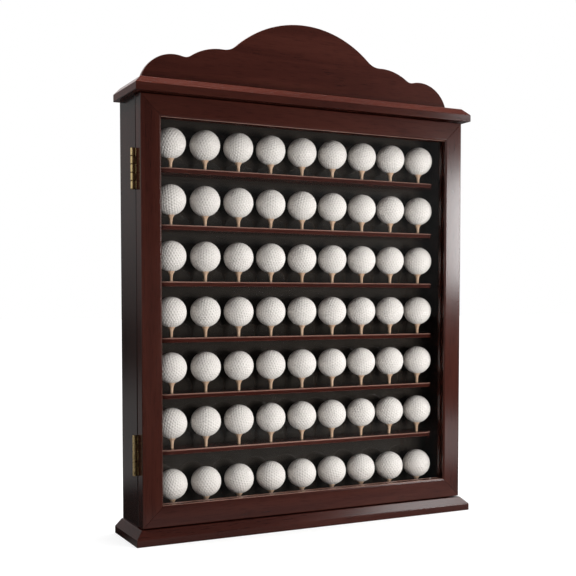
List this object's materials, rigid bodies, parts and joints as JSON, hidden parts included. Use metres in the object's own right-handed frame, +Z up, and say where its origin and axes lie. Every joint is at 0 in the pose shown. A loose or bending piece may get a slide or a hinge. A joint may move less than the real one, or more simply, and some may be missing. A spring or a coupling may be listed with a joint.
{
  "type": "golf ball display case",
  "caption": "Shallow wooden wall cabinet with a hinged glazed door, a lobed pediment and rows of golf balls standing on tees on thin shelves.",
  "frame": {"origin": "middle of the footprint, on the surface that the case stands on", "axes": "+X to the right seen from the front, +Y to the rear (the wall), +Z up"},
  "size_m": [0.54, 0.1, 0.724],
  "materials": {
    "mahogany_lacquer": "dark red-brown stained wood under gloss lacquer",
    "black_panel": "thin board painted black, semi-gloss",
    "plain_wood": "planed softwood, unfinished",
    "glass": "clear float glass",
    "brass": "polished brass",
    "zinc_steel": "zinc-plated steel",
    "magnet": "nickel-plated magnet",
    "tee_wood": "turned light hardwood, satin",
    "ball_cover": "white moulded cover with dimples, satin gloss"
  },
  "bodies": {
    "case": {"back_panel": "black_panel", "balls_row_1": "ball_cover", "balls_row_2": "ball_cover", "balls_row_3": "ball_cover", "balls_row_4": "ball_cover", "balls_row_5": "ball_cover", "balls_row_6": "ball_cover", "balls_row_7": "ball_cover", "base_board": "mahogany_lacquer", "catch_magnet": "magnet", "cornice_board": "mahogany_lacquer", "floor_panel": "mahogany_lacquer", "hanger_plates": "zinc_steel", "hanger_screws": "zinc_steel", "hanging_rail": "plain_wood", "hinge_lower_case_leaf": "brass", "hinge_lower_pin": "brass", "hinge_screws_case": "brass", "hinge_upper_case_leaf": "brass", "hinge_upper_pin": "brass", "left_side": "mahogany_lacquer", "pediment": "mahogany_lacquer", "right_side": "mahogany_lacquer", "shelf_1": "mahogany_lacquer", "shelf_2": "mahogany_lacquer", "shelf_3": "mahogany_lacquer", "shelf_4": "mahogany_lacquer", "shelf_5": "mahogany_lacquer", "shelf_6": "mahogany_lacquer", "tees_row_1": "tee_wood", "tees_row_2": "tee_wood", "tees_row_3": "tee_wood", "tees_row_4": "tee_wood", "tees_row_5": "tee_wood", "tees_row_6": "tee_wood", "tees_row_7": "tee_wood", "top_panel": "mahogany_lacquer"},
    "door": {"door_bottom_rail": "mahogany_lacquer", "door_glass": "glass", "door_left_stile": "mahogany_lacquer", "door_right_stile": "mahogany_lacquer", "door_top_rail": "mahogany_lacquer", "glazing_bead_bottom": "mahogany_lacquer", "glazing_bead_left": "mahogany_lacquer", "glazing_bead_right": "mahogany_lacquer", "glazing_bead_top": "mahogany_lacquer", "hinge_lower_door_leaf": "brass", "hinge_screws_door": "brass", "hinge_upper_door_leaf": "brass", "strike_plate": "zinc_steel"}
  },
  "joints": [
    {"name": "door_hinge", "type": "hinge", "parent": "case", "child": "door", "pos_m": [-0.26204, -0.018, 0.31075], "axis": [0, 0, -1], "range_deg": [0, 180]}
  ]
}
